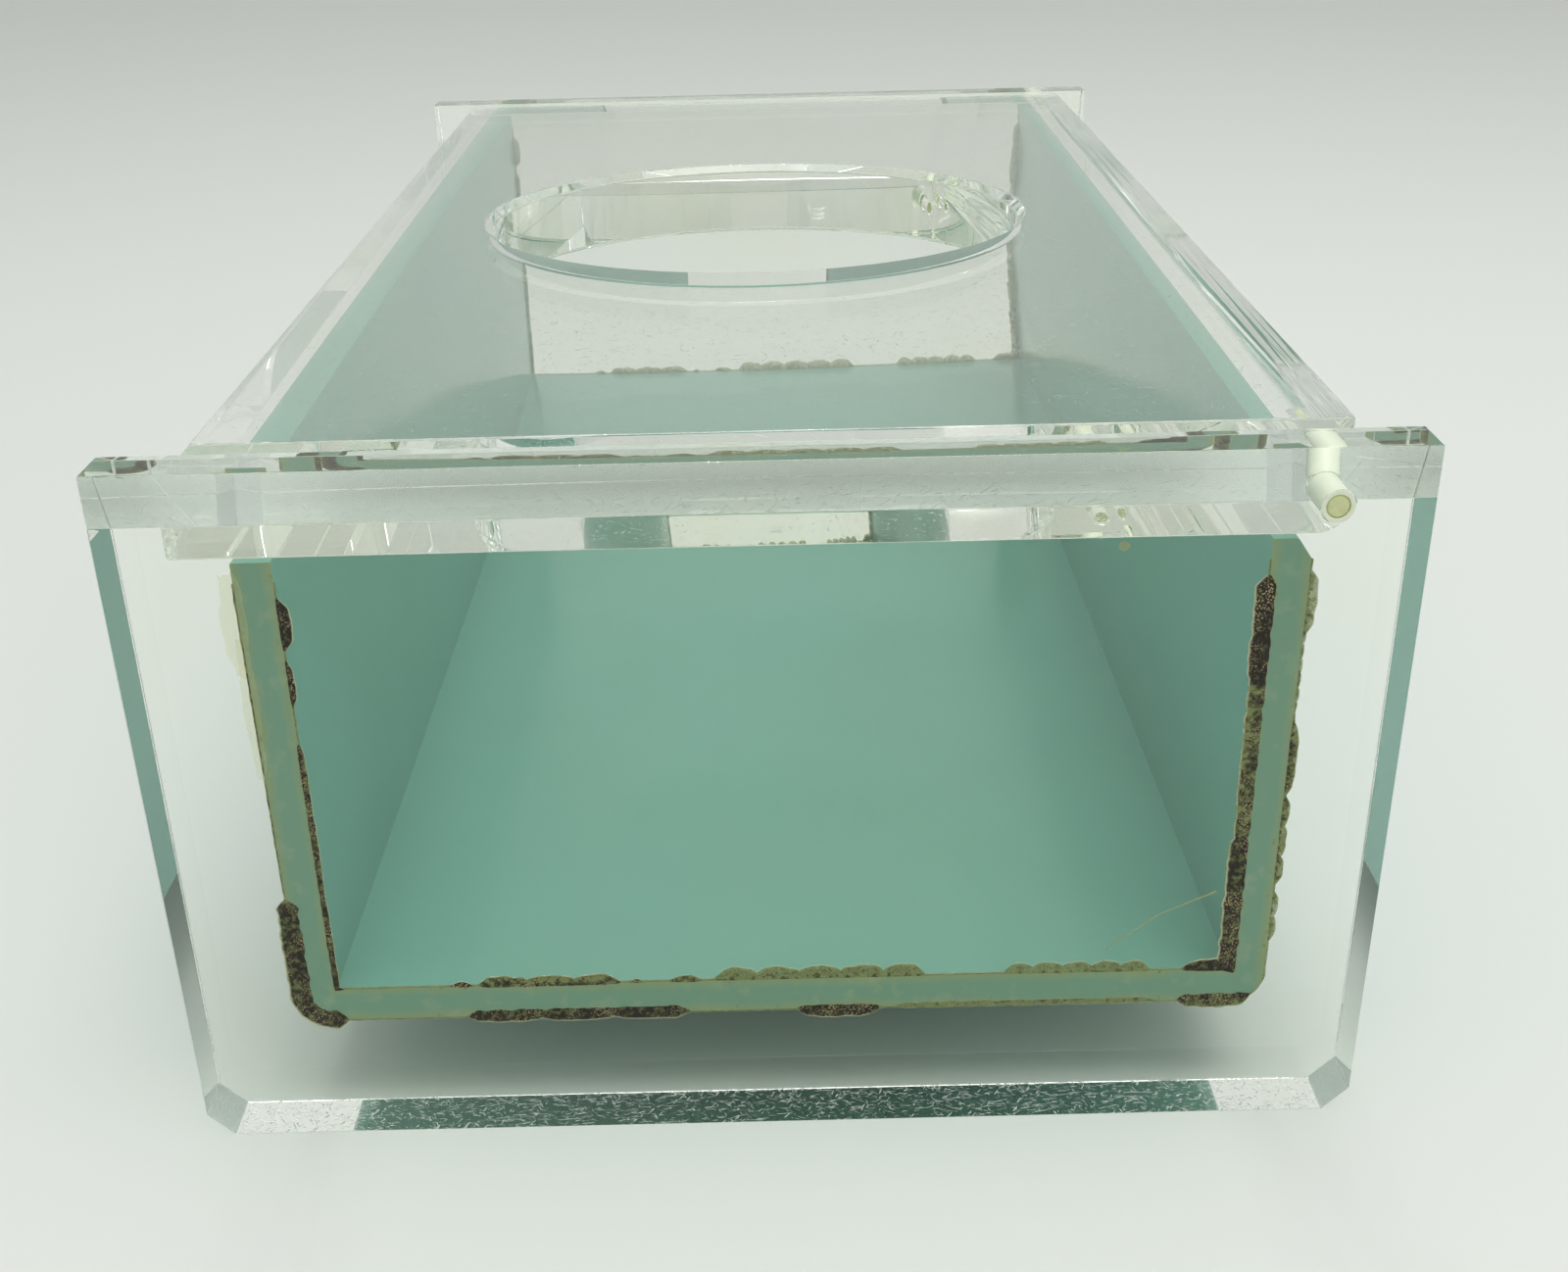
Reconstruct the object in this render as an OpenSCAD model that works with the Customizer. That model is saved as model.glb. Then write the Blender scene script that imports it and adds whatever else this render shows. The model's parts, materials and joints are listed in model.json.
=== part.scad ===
// Clear box on two standing end plates: a teal trough hangs between the plates
// and a thick clear lid with a round hole swings on two pins.
// Millimetres. Origin on the table, in the middle of the footprint.
// +X right seen from the front plate, +Y towards the rear plate, +Z up.

/* [End plates] */
// Width of each end plate
plate_w = 152; // [120:1:190]
// Height of each end plate
plate_h = 91; // [70:1:120]
// Sheet thickness of each end plate
plate_t = 12.7; // [9:0.1:16]
// Length over both end plates
body_l = 285; // [220:1:340]
// 45 degree cut on the two bottom corners of a plate
foot_cut = 3.3; // [1:0.1:8]
// Depth of the flat strip left on top of a plate
top_flat = 7.2; // [4:0.1:12]
// Height of the bevel behind that strip, towards +Y on both plates
bevel_drop = 8.9; // [3:0.1:14]

/* [Trough] */
// Outside width of the trough
trough_w = 128; // [100:1:160]
// Sideways offset of the trough from the plate centre
trough_x = 1; // [-4:0.5:4]
// Height of the trough's underside above the table
trough_z = 13; // [4:0.5:30]
// Height of the wall tops above the table
wall_top = 77.5; // [60:0.1:100]
// Sheet thickness of the trough
wall_t = 4.8; // [3:0.1:7]
// Outside radius of the two bends
bend_r = 4; // [1:0.1:10]
// Width of the cut on the outer top edge of the hinge-side wall
wall_cut_w = 1.8; // [0.5:0.1:3]
// Height of that cut
wall_cut_h = 2.6; // [0.5:0.1:5]

/* [Lid] */
// Left edge of the lid
lid_left = -70.5; // [-90:0.1:-60]
// Right edge of the lid, on the hinge side
lid_right = 69.7; // [60:0.1:90]
// Top face of the lid above the table
lid_top = 90.4; // [70:0.1:110]
// Sheet thickness of the lid
lid_t = 12.55; // [9:0.05:16]
// Clearance between each lid end and its end plate
lid_gap = 0.4; // [0.3:0.1:2]
// Width and height of the bevel along the lid's left top edge
lid_bevel = 3.7; // [0.5:0.1:6]
// Radius of the rounded lower edge under the pins
lid_round = 4.6; // [1:0.1:6]
// Radius of the round hole, at the wall
hole_r = 45.7; // [30:0.1:55]
// Sideways position of the hole
hole_x = -0.8; // [-6:0.1:6]
// Cut around the hole's top rim
rim_top = 1.3; // [0.3:0.1:3]
// Cut around the hole's bottom rim
rim_low = 0.6; // [0.2:0.1:3]

/* [Hinge] */
// Sideways position of the pin axis
pin_x = 65; // [55:0.1:75]
// Height of the pin axis
pin_z = 84.1; // [70:0.1:100]
// Pin diameter
pin_d = 2.8; // [2:0.1:4]
// Pin length, measured inwards from the plate's outer face
pin_l = 21; // [16:0.5:30]
// Outside diameter of the bushing round each pin
bushing_d = 3.8; // [3:0.1:6]
// Depth of the bushing in the plate
bushing_l = 10.4; // [6:0.1:12]
// Clearance between pin and lid bore, on the radius
pin_play = 0.05; // [0.02:0.01:0.1]

/* [Cement] */
// Width of the cement bead along the trough ends
bead_w = 1.8; // [0.5:0.1:3]
// Depth of the bead along the trough
bead_d = 1.2; // [0.5:0.1:3]

/* [Hidden] */
$fn = 96;
half_l = body_l / 2;
plate_in = half_l - plate_t;          // inner face of a plate
inner_w = trough_w - 2 * wall_t;
floor_top = trough_z + wall_t;
lid_low = lid_top - lid_t;
lid_half = plate_in - lid_gap;
bore_r = pin_d / 2 + pin_play;
bore_depth = half_l - pin_l - 1;      // how near the middle a lid bore ends

// Draws a profile in X and Z and runs it from y0 to y1.
module run_y(y0, y1) {
    translate([0, y1, 0]) rotate([90, 0, 0]) linear_extrude(y1 - y0) children();
}

// Cylinder along Y from y0 to y1.
module rod_y(r, x, z, y0, y1) {
    translate([x, y0, z]) rotate([-90, 0, 0]) cylinder(r = r, h = y1 - y0);
}

// Repeats the front piece at the rear, mirrored.
module at_rear() {
    mirror([0, 1, 0]) children();
}

// One end plate with its outer face at -half_l.
module plate() {
    difference() {
        run_y(-half_l, -plate_in)
            polygon([[-plate_w / 2 + foot_cut, 0], [plate_w / 2 - foot_cut, 0],
                     [plate_w / 2, foot_cut], [plate_w / 2, plate_h],
                     [-plate_w / 2, plate_h], [-plate_w / 2, foot_cut]]);
        translate([-plate_w / 2 - 1, 0, 0]) rotate([90, 0, 90]) linear_extrude(plate_w + 2)
            polygon([[-half_l + top_flat, plate_h], [-plate_in, plate_h - bevel_drop],
                     [-plate_in + 2, plate_h - bevel_drop], [-plate_in + 2, plate_h + 2],
                     [-half_l + top_flat, plate_h + 2]]);
        rod_y(bushing_d / 2, pin_x, pin_z, -half_l - 1, -plate_in + 1);
    }
}

module front_end_plate() {
    color([0.86, 0.93, 0.90, 0.35]) plate();
}

// The rear plate is the same piece, standing the same way round as the front one.
module rear_end_plate() {
    color([0.86, 0.93, 0.90, 0.35]) translate([0, half_l + plate_in, 0]) plate();
}

// Solid block under the trough's outside, with the two bends rounded.
module trough_block(grow, y0, y1) {
    x0 = trough_x - trough_w / 2 - grow;
    x1 = trough_x + trough_w / 2 + grow;
    z0 = trough_z - grow;
    r = bend_r + grow;
    union() {
        translate([x0, y0, z0 + r]) cube([x1 - x0, y1 - y0, wall_top - z0 - r]);
        translate([x0 + r, y0, z0]) cube([x1 - x0 - 2 * r, y1 - y0, r + 1]);
        rod_y(r, x0 + r, z0 + r, y0, y1);
        rod_y(r, x1 - r, z0 + r, y0, y1);
    }
}

// Space inside the trough, open at the top.
module trough_space(shrink, y0, y1) {
    translate([trough_x - inner_w / 2 + shrink, y0, floor_top + shrink])
        cube([inner_w - 2 * shrink, y1 - y0, plate_h]);
}

// Bent sheet glued by its two ends to the plates' inner faces.
module card_trough() {
    x1 = trough_x + trough_w / 2;
    color([0.47, 0.68, 0.63]) difference() {
        trough_block(0, -plate_in, plate_in);
        trough_space(0, -plate_in - 1, plate_in + 1);
        run_y(-plate_in - 1, plate_in + 1)
            polygon([[x1 - wall_cut_w, wall_top], [x1, wall_top - wall_cut_h],
                     [x1 + 1, wall_top - wall_cut_h], [x1 + 1, wall_top + 1],
                     [x1 - wall_cut_w, wall_top + 1]]);
    }
}

// Thick lid lying between the plates, rounded below the pins.
module lid_panel() {
    rx = lid_right - lid_round;
    rz = lid_low + lid_round;
    color([0.88, 0.94, 0.90, 0.35]) difference() {
        union() {
            run_y(-lid_half, lid_half)
                polygon([[lid_left + lid_bevel, lid_top], [lid_right, lid_top],
                         [lid_right, rz], [rx, rz], [rx, lid_low],
                         [lid_left, lid_low], [lid_left, lid_top - lid_bevel]]);
            rod_y(lid_round, rx, rz, -lid_half, lid_half);
        }
        translate([hole_x, 0, lid_low - 1]) cylinder(r = hole_r, h = lid_t + 2);
        translate([hole_x, 0, lid_top - rim_top])
            cylinder(r1 = hole_r, r2 = hole_r + rim_top + 1, h = rim_top + 1);
        translate([hole_x, 0, lid_low - 1])
            cylinder(r1 = hole_r + rim_low + 1, r2 = hole_r, h = rim_low + 1);
        rod_y(bore_r, pin_x, pin_z, -lid_half - 1, -bore_depth);
        rod_y(bore_r, pin_x, pin_z, bore_depth, lid_half + 1);
    }
}

module pin() {
    rod_y(pin_d / 2, pin_x, pin_z, -half_l, -half_l + pin_l);
}

module front_hinge_pin() {
    color([0.87, 0.86, 0.60]) pin();
}

module rear_hinge_pin() {
    color([0.87, 0.86, 0.60]) at_rear() pin();
}

module bushing() {
    difference() {
        rod_y(bushing_d / 2, pin_x, pin_z, -half_l, -half_l + bushing_l);
        rod_y(pin_d / 2, pin_x, pin_z, -half_l - 1, -half_l + bushing_l + 1);
    }
}

module front_pin_bushing() {
    color([0.70, 0.74, 0.66]) bushing();
}

module rear_pin_bushing() {
    color([0.70, 0.74, 0.66]) at_rear() bushing();
}

// Bead round the outside of a trough end, against the plate.
module outer_bead() {
    x1 = trough_x + trough_w / 2;
    difference() {
        trough_block(bead_w, -plate_in, -plate_in + bead_d);
        trough_block(0, -plate_in - 1, -plate_in + bead_d + 1);
        translate([-plate_w, -half_l, wall_top - wall_cut_h])
            cube([2 * plate_w, plate_t * 2, plate_h]);
    }
}

// Bead round the inside of a trough end, against the plate.
module inner_bead() {
    difference() {
        trough_space(0, -plate_in, -plate_in + bead_d);
        trough_space(bead_w, -plate_in - 1, -plate_in + bead_d + 1);
        translate([-plate_w, -half_l, wall_top - wall_cut_h])
            cube([2 * plate_w, plate_t * 2, 2 * plate_h]);
    }
}

module front_outer_cement() {
    color([0.55, 0.45, 0.27]) outer_bead();
}

module front_inner_cement() {
    color([0.55, 0.45, 0.27]) inner_bead();
}

module rear_outer_cement() {
    color([0.55, 0.45, 0.27]) at_rear() outer_bead();
}

module rear_inner_cement() {
    color([0.55, 0.45, 0.27]) at_rear() inner_bead();
}

front_end_plate();
rear_end_plate();
card_trough();
lid_panel();
front_hinge_pin();
rear_hinge_pin();
front_pin_bushing();
rear_pin_bushing();
front_outer_cement();
front_inner_cement();
rear_outer_cement();
rear_inner_cement();
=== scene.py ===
"""Clear hinged card box on two end plates: its visual pieces, finishes, stage and camera."""
import json
import math

import bmesh
import bpy
from mathutils import Matrix, Vector, noise


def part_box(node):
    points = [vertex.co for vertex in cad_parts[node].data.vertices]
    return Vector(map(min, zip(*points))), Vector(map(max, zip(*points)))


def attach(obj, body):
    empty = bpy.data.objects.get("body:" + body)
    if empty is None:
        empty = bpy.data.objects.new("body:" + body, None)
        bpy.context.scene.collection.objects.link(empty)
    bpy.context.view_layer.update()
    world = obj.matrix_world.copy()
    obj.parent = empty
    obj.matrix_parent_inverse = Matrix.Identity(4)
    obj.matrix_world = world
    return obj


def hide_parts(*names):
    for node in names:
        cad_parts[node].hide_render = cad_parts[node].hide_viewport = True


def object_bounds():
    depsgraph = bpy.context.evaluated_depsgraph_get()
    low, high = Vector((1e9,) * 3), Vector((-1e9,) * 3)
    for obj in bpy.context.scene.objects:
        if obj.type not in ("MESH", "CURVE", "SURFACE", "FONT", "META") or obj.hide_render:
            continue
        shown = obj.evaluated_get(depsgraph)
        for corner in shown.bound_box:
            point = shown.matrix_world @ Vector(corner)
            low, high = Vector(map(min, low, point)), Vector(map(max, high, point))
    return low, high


bl_info = {
    "name": "Clear Card Box",
    "version": (1, 0, 0),
    "blender": (4, 5, 0),
    "location": "View3D > Sidebar > Card Box",
    "description": "Builds the clear end plates, lid, trough, hinge and cement of a card box",
    "category": "Add Mesh",
}

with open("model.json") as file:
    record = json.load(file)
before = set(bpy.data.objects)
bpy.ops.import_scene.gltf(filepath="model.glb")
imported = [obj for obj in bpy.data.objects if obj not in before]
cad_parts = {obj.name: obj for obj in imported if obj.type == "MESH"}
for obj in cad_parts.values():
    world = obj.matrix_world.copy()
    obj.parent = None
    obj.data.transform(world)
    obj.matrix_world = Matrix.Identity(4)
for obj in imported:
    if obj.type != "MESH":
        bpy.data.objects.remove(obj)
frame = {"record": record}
CAD_LOW, CAD_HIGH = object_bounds()
MM = 0.001
BOND = 0.03 * MM                     # how far cemented faces sink into a clear plate
ACRYLIC_IOR = 1.49
SHARP = math.radians(25)             # edges above this angle stay sharp
CAMERA_PLACE = Vector((0.001589685, CAD_LOW.y - 0.208880229, CAD_HIGH.z + 0.066755874))
CAMERA_PITCH = math.radians(29.31)   # downwards
CAMERA_ROLL = 0.0235                 # radians
CAMERA_LENS = 44.4915                # millimetres, on a 36 mm sensor
CAMERA_SHIFT = 0.1414


# ------------------------------------------------------------------ settings
class CardBoxSizes(bpy.types.PropertyGroup):
    """Sizes that the frame's boxes don't give."""

    foot_cut: bpy.props.FloatProperty(
        name="Foot cut", description="Cut on the bottom corners of a plate",
        default=0.0033, unit="LENGTH")
    top_flat: bpy.props.FloatProperty(
        name="Top flat", description="Flat strip left on top of a plate",
        default=0.0072, unit="LENGTH")
    bevel_drop: bpy.props.FloatProperty(
        name="Bevel drop", description="Height of the bevel behind that strip",
        default=0.0089, unit="LENGTH")
    polish: bpy.props.FloatProperty(
        name="Polished edge", description="Width of the flame-polished edges",
        default=0.00022, unit="LENGTH")
    wall: bpy.props.FloatProperty(
        name="Trough sheet", description="Sheet thickness of the trough",
        default=0.0048, unit="LENGTH")
    bend: bpy.props.FloatProperty(
        name="Bend radius", description="Outside radius of the trough's bends",
        default=0.004, unit="LENGTH")
    wall_cut_width: bpy.props.FloatProperty(
        name="Wall cut width", description="Cut on top of the hinge-side wall",
        default=0.0018, unit="LENGTH")
    wall_cut_height: bpy.props.FloatProperty(
        name="Wall cut height", description="Height of the cut on that wall",
        default=0.0026, unit="LENGTH")
    lid_bevel: bpy.props.FloatProperty(
        name="Lid bevel", description="Bevel along the lid's free long edge",
        default=0.0037, unit="LENGTH")
    lid_round: bpy.props.FloatProperty(
        name="Lid rounding", description="Rounded lower edge under the pins",
        default=0.0046, unit="LENGTH")
    hole_radius: bpy.props.FloatProperty(
        name="Hole radius", description="Radius of the lid's hole at its wall",
        default=0.0457, unit="LENGTH")
    hole_side: bpy.props.FloatProperty(
        name="Hole offset", description="Sideways place of the hole's centre",
        default=-0.0008, unit="LENGTH")
    rim_cut: bpy.props.FloatProperty(
        name="Rim cut", description="Polished cut round the hole's top rim",
        default=0.0013, unit="LENGTH")
    rim_cut_low: bpy.props.FloatProperty(
        name="Lower rim cut", description="Cut round the hole's lower rim",
        default=0.0006, unit="LENGTH")


class CardBoxColours(bpy.types.PropertyGroup):
    """Colours of the finishes."""

    clear: bpy.props.FloatVectorProperty(
        name="Clear sheet", description="Tint of the clear sheet",
        subtype="COLOR", default=(0.985, 0.995, 0.985), min=0.0, max=1.0)
    teal: bpy.props.FloatVectorProperty(
        name="Teal sheet", description="Colour of the trough",
        subtype="COLOR", default=(0.205, 0.445, 0.375), min=0.0, max=1.0)
    nylon: bpy.props.FloatVectorProperty(
        name="Hinge pin", description="Colour of the yellowed pins",
        subtype="COLOR", default=(0.80, 0.82, 0.50), min=0.0, max=1.0)
    cement: bpy.props.FloatVectorProperty(
        name="Young cement", description="Cream colour of thin cement",
        subtype="COLOR", default=(0.36, 0.40, 0.17), min=0.0, max=1.0)
    burnt: bpy.props.FloatVectorProperty(
        name="Aged cement", description="Brown colour of aged cement",
        subtype="COLOR", default=(0.022, 0.013, 0.005), min=0.0, max=1.0)


# ------------------------------------------------------------------ mesh tools
def keep(bm, name, slot, *nodes, smooth=SHARP):
    """Turns a finished bmesh into a piece that rides with the node it stands for."""
    mesh = bpy.data.meshes.new(name)
    bm.to_mesh(mesh)
    bm.free()
    piece = bpy.data.objects.new(name, mesh)
    bpy.context.scene.collection.objects.link(piece)
    shade(piece, smooth)
    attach(piece, body_of_node(nodes[0]))
    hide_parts(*nodes)
    return piece


def shade(piece, angle):
    """Smooth shading with sharp edges above an angle."""
    mesh = piece.data
    mesh.polygons.foreach_set("use_smooth", [True] * len(mesh.polygons))
    mesh.set_sharp_from_angle(angle=angle)
    mesh.update()


def body_of_node(node):
    """The body that lists a CAD node."""
    for name, nodes in frame["record"]["behaviour"]["bodies"].items():
        if node in nodes:
            return name
    raise RuntimeError("no body lists " + node)


def block(bm, low, high):
    """A box between two corners."""
    made = bmesh.ops.create_cube(bm, size=1.0)["verts"]
    bmesh.ops.scale(bm, vec=high - low, verts=made)
    bmesh.ops.translate(bm, vec=(low + high) / 2, verts=made)
    return made


def edges_along(bm, axis, test):
    """Edges parallel to an axis whose two ends pass a test."""
    found = []
    for edge in bm.edges:
        run = edge.verts[1].co - edge.verts[0].co
        if abs(run[axis]) > 0.99 * run.length and all(test(v.co) for v in edge.verts):
            found.append(edge)
    return found


def chamfer(bm, edges, offset, segments=1):
    """Bevels edges with the editor's own defaults."""
    bmesh.ops.bevel(
        bm, geom=edges, offset=offset, offset_type="OFFSET", segments=segments,
        profile=0.5, affect="EDGES", material=-1, clamp_overlap=True)


def soften_rims(bm, width, axis):
    """Rounds the sharp outward edges along an axis and leaves inward creases alone."""
    sharp = [e for e in edges_along(bm, axis, lambda p: True)
             if e.is_convex and e.calc_face_angle() > math.radians(30)]
    chamfer(bm, sharp, width, 2)


def turned(bm, profile, steps):
    """Turns a closed chain of (radius, height) points about Z."""
    chain = [bm.verts.new((r, 0.0, z)) for r, z in profile]
    links = [bm.edges.new(pair) for pair in zip(chain, chain[1:])]
    bmesh.ops.spin(
        bm, geom=chain + links, cent=(0, 0, 0), axis=(0, 0, 1), dvec=(0, 0, 0),
        angle=math.tau, steps=steps, use_merge=True, use_duplicate=False)
    bmesh.ops.remove_doubles(bm, verts=bm.verts[:], dist=1e-7)
    bmesh.ops.recalc_face_normals(bm, faces=bm.faces[:])


def lay_along_y(bm, x, z, y, front):
    """Lays a turned shape down so that its height runs inwards from an end."""
    turn = Matrix.Rotation(math.radians(-90 if front else 90), 4, "X")
    bmesh.ops.transform(bm, matrix=turn, verts=bm.verts[:])
    bmesh.ops.translate(bm, vec=(x, y, z), verts=bm.verts[:])


def tool_object(bm, name):
    """A helper solid used to carve a piece."""
    mesh = bpy.data.meshes.new(name)
    bm.to_mesh(mesh)
    bm.free()
    tool = bpy.data.objects.new(name, mesh)
    bpy.context.scene.collection.objects.link(tool)
    return tool


def carve(piece, tool):
    """Cuts a helper solid out of a piece and removes the helper."""
    cut = piece.modifiers.new("Cut", "BOOLEAN")
    cut.operation = "DIFFERENCE"
    cut.solver = "EXACT"
    cut.object = tool
    graph = bpy.context.evaluated_depsgraph_get()
    mesh = bpy.data.meshes.new_from_object(piece.evaluated_get(graph))
    piece.modifiers.clear()
    old = piece.data
    piece.data = mesh
    bpy.data.meshes.remove(old)
    bpy.data.objects.remove(tool)


def polish(piece, width):
    """Small rounded edges, as a flame leaves on clear sheet."""
    bevel = piece.modifiers.new("Polished edges", "BEVEL")
    bevel.width = width
    bevel.segments = 2
    bevel.limit_method = "ANGLE"
    bevel.angle_limit = math.radians(30)
    bevel.harden_normals = True
    return bevel


def settings():
    """The two property groups."""
    return bpy.context.scene.card_box_sizes, bpy.context.scene.card_box_colours


def pin_axis():
    """Sideways and upward place of the hinge pins."""
    low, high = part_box("front_hinge_pin")
    return (low.x + high.x) / 2, (low.z + high.z) / 2


# ------------------------------------------------------------------ node tools
def wire(tree, made, **links):
    """Links named sockets into a node, or sets their values."""
    for name, value in links.items():
        socket = made.inputs[name.replace("_", " ")]
        if isinstance(value, bpy.types.NodeSocket):
            tree.links.new(value, socket)
        else:
            socket.default_value = value
    return made


def group_tree(name, inputs, outputs):
    """A shader node group with float inputs, or the one made before."""
    tree = bpy.data.node_groups.get(name)
    if tree:
        return tree, False
    tree = bpy.data.node_groups.new(name, "ShaderNodeTree")
    for label, value in inputs:
        socket = tree.interface.new_socket(name=label, in_out="INPUT", socket_type="NodeSocketFloat")
        socket.default_value = value
    for label in outputs:
        tree.interface.new_socket(name=label, in_out="OUTPUT", socket_type="NodeSocketFloat")
    return tree, True


def math_node(tree, operation, first, second=0.0, third=0.0):
    """One Math node, whose inputs are sockets or values."""
    made = tree.nodes.new("ShaderNodeMath")
    made.operation = operation
    for socket, value in zip(made.inputs, (first, second, third)):
        if isinstance(value, bpy.types.NodeSocket):
            tree.links.new(value, socket)
        else:
            socket.default_value = value
    return made.outputs[0]


def noise_node(tree, vector, scale, detail=2.0, rough=0.5):
    """One Noise Texture's factor."""
    made = tree.nodes.new("ShaderNodeTexNoise")
    wire(tree, made, Vector=vector, Scale=scale, Detail=detail, Roughness=rough)
    return made.outputs["Fac"]


def remap(tree, value, low, high, out_low=0.0, out_high=1.0):
    """Map Range, clamped."""
    made = tree.nodes.new("ShaderNodeMapRange")
    names = ("Value", "From Min", "From Max", "To Min", "To Max")
    for name, given in zip(names, (value, low, high, out_low, out_high)):
        if isinstance(given, bpy.types.NodeSocket):
            tree.links.new(given, made.inputs[name])
        else:
            made.inputs[name].default_value = given
    return made.outputs["Result"]


def blend_colour(tree, factor, first, second):
    """Mixes two colours, given as sockets or triples."""
    made = tree.nodes.new("ShaderNodeMix")
    made.data_type = "RGBA"
    tree.links.new(factor, made.inputs["Factor"])
    for name, given in (("A", first), ("B", second)):
        socket = [s for s in made.inputs if s.name == name and s.type == "RGBA"][0]
        if isinstance(given, bpy.types.NodeSocket):
            tree.links.new(given, socket)
        else:
            socket.default_value = (*given, 1.0)
    return [s for s in made.outputs if s.type == "RGBA"][0]


def hairlines():
    """Group: long thin scratches in five directions, 0 to 1."""
    tree, new = group_tree(
        "Hairline scratches", (("Density", 0.5), ("Scale", 1.0)), ("Scratches", "Haze"))
    if not new:
        return tree
    given = tree.nodes.new("NodeGroupInput")
    place = tree.nodes.new("ShaderNodeTexCoord").outputs["Object"]
    total = None
    for turn, along, across in ((0.5, 19.0, 2900.0), (-0.75, 24.0, 3500.0), (1.25, 30.0, 2600.0),
                                (-1.3, 22.0, 3200.0), (0.1, 16.0, 3000.0)):
        mapping = tree.nodes.new("ShaderNodeMapping")
        mapping.vector_type = "TEXTURE"
        wire(tree, mapping, Vector=place, Rotation=(0.1 * turn, 0.15, turn),
             Scale=(1 / along, 1 / across, 1 / across))
        scaled = tree.nodes.new("ShaderNodeVectorMath")
        scaled.operation = "SCALE"
        tree.links.new(mapping.outputs["Vector"], scaled.inputs[0])
        tree.links.new(given.outputs["Scale"], scaled.inputs["Scale"])
        streak = noise_node(tree, scaled.outputs["Vector"], 1.0, 1.0)
        edge = math_node(tree, "MULTIPLY_ADD", given.outputs["Density"], -0.14, 0.78)
        line = remap(tree, streak, edge, math_node(tree, "ADD", edge, 0.05))
        total = line if total is None else math_node(tree, "MAXIMUM", total, line)
    haze = noise_node(tree, place, 55.0, 4.0, 0.6)
    out = tree.nodes.new("NodeGroupOutput")
    tree.links.new(total, out.inputs["Scratches"])
    tree.links.new(haze, out.inputs["Haze"])
    return tree


def mottling():
    """Group: slow colour change and fine dust specks, 0 to 1."""
    tree, new = group_tree(
        "Age mottling", (("Cloud scale", 30.0), ("Speck scale", 900.0)), ("Cloud", "Specks"))
    if not new:
        return tree
    given = tree.nodes.new("NodeGroupInput")
    place = tree.nodes.new("ShaderNodeTexCoord").outputs["Object"]
    cloud = noise_node(tree, place, given.outputs["Cloud scale"], 5.0, 0.6)
    speck = tree.nodes.new("ShaderNodeTexVoronoi")
    wire(tree, speck, Vector=place, Scale=given.outputs["Speck scale"])
    dots = remap(tree, speck.outputs["Distance"], 0.12, 0.05)
    thin = remap(tree, noise_node(tree, place, 160.0, 2.0), 0.62, 0.70)
    out = tree.nodes.new("NodeGroupOutput")
    tree.links.new(cloud, out.inputs["Cloud"])
    tree.links.new(math_node(tree, "MULTIPLY", dots, thin), out.inputs["Specks"])
    return tree


def use_group(tree, made, **values):
    """Places a node group in a material with its own values."""
    node = tree.nodes.new("ShaderNodeGroup")
    node.node_tree = made
    return wire(tree, node, **values)


def new_material(name):
    """An empty node material with its Principled shader and output."""
    material = bpy.data.materials.new(name)
    material.use_nodes = True
    tree = material.node_tree
    shader = tree.nodes["Principled BSDF"]
    return material, tree, shader


def clear_sheet(name, tint, scratch_density, worn_base):
    """Polished clear acrylic that lets lamp light through."""
    material, tree, shader = new_material(name)
    lines = use_group(tree, hairlines(), Density=scratch_density, Scale=1.0)
    age = use_group(tree, mottling(), Cloud_scale=24.0, Speck_scale=700.0)
    place = tree.nodes.new("ShaderNodeTexCoord").outputs["Object"]
    split = tree.nodes.new("ShaderNodeSeparateXYZ")
    tree.links.new(place, split.inputs[0])
    marks = lines.outputs["Scratches"]
    if worn_base:
        near_table = remap(tree, split.outputs["Z"], 0.0004, 0.0001)
        worn = use_group(tree, hairlines(), Density=0.72, Scale=1.0)
        scuffed = math_node(tree, "MULTIPLY", worn.outputs["Scratches"], near_table)
        marks = math_node(tree, "MAXIMUM", math_node(tree, "MULTIPLY", marks, 0.15),
                          math_node(tree, "MULTIPLY", scuffed, 5.0))
    bump = wire(tree, tree.nodes.new("ShaderNodeBump"), Strength=0.5, Distance=0.00003, Height=marks)
    yellow = (tint[0] * 0.985, tint[1] * 0.985, tint[2] * 0.93)
    colour = blend_colour(tree, remap(tree, age.outputs["Cloud"], 0.35, 0.75), tint, yellow)
    rough = math_node(tree, "MINIMUM", math_node(tree, "MULTIPLY", marks, 0.13), 0.65)
    tree.links.new(colour, shader.inputs["Base Color"])
    tree.links.new(rough, shader.inputs["Roughness"])
    tree.links.new(bump.outputs["Normal"], shader.inputs["Normal"])
    shader.inputs["IOR"].default_value = ACRYLIC_IOR
    shader.inputs["Transmission Weight"].default_value = 1.0
    through_lamps(tree, shader)
    return material


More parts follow.
